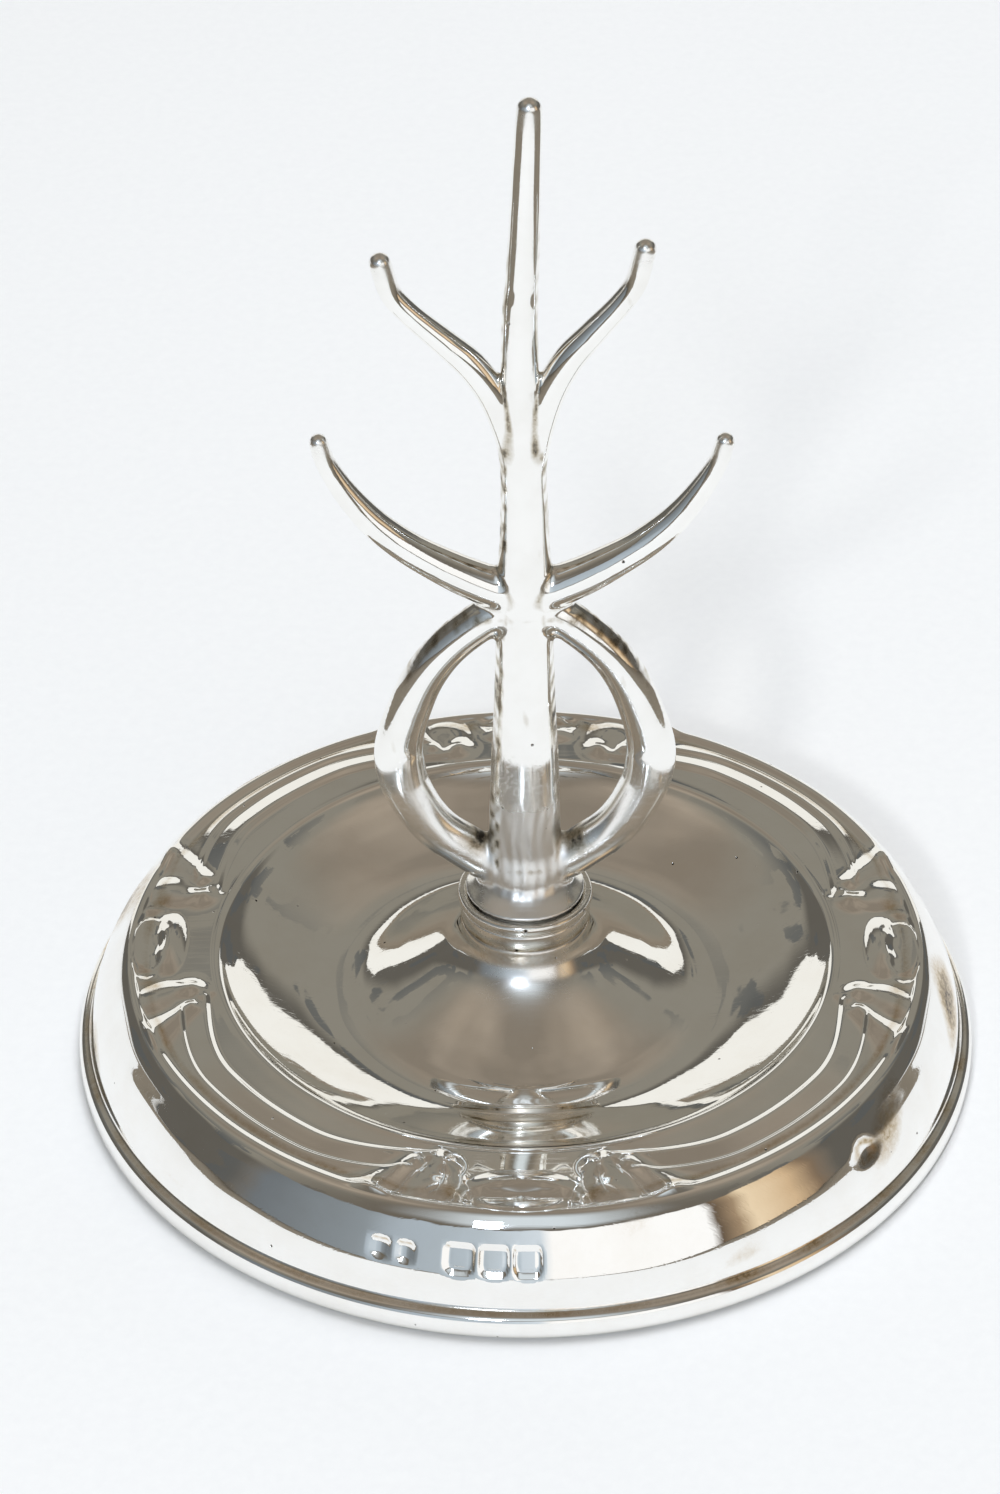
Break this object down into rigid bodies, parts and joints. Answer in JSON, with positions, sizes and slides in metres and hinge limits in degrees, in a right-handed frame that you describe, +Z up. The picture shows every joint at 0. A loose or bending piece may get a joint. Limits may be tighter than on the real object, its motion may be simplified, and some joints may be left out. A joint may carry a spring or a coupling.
{
  "type": "ring tree",
  "caption": "Ring stand: round loaded dish base with a smooth well and ornamented rim, and a central stem with a low hoop and two pairs of curved arms.",
  "frame": {"origin": "centre of the felt's underside, where the base stands", "axes": "+Z up along the stem, +X towards the right-hand arms seen from the front, -Y is the front; the tree lies in the XZ plane"},
  "size_m": [0.076, 0.076, 0.0902],
  "materials": {
    "sheet_silver": "polished stamped silver sheet, lightly tarnished",
    "cast_silver": "polished cast silver with pits and tarnish in the joints",
    "collar_silver": "turned silver, dull where soldered",
    "pitch": "cast dark pitch and plaster loading",
    "board": "plain turned board",
    "baize": "glued green baize"
  },
  "bodies": {
    "root": {"baize_pad": "baize", "base_board": "board", "loading_core": "pitch", "base_shell": "sheet_silver", "neck_collar": "collar_silver", "collar_wire": "collar_silver", "tree_foot": "cast_silver", "stem": "cast_silver", "hoop_left": "cast_silver", "hoop_right": "cast_silver", "lower_arm_left": "cast_silver", "lower_arm_right": "cast_silver", "upper_arm_left": "cast_silver", "upper_arm_right": "cast_silver"}
  },
  "joints": []
}
